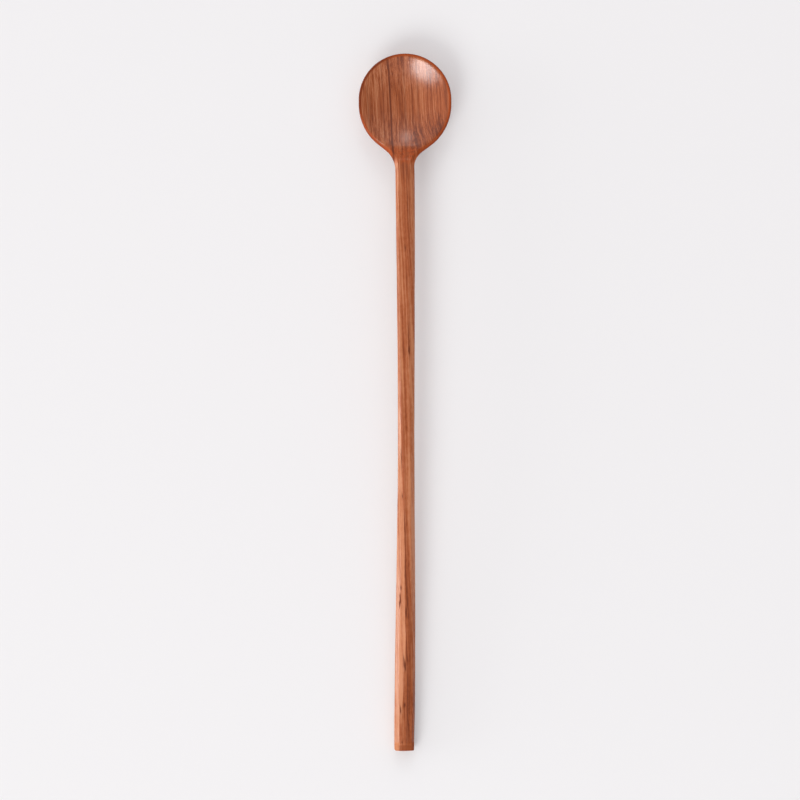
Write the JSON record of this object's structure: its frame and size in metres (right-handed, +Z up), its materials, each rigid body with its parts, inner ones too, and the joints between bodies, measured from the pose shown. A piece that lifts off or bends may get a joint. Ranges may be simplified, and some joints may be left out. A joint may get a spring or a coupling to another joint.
{
  "type": "wooden spoon",
  "caption": "Long-handled wooden spoon with a small round bowl and a slim, faceted, gently arched handle, for stirring and tasting.",
  "frame": {"origin": "on the table, under the middle of the spoon's bounding box", "axes": "+Y along the spoon towards the bowl's tip, +X across the spoon, to the right when the bowl's tip points away, +Z up, out of the bowl"},
  "size_m": [0.0438, 0.33, 0.0166],
  "materials": {
    "wood": "reddish brown hardwood with dark streaks, hand finished and rubbed with oil to a satin"
  },
  "bodies": {
    "root": {"spoon": "wood"}
  },
  "joints": []
}
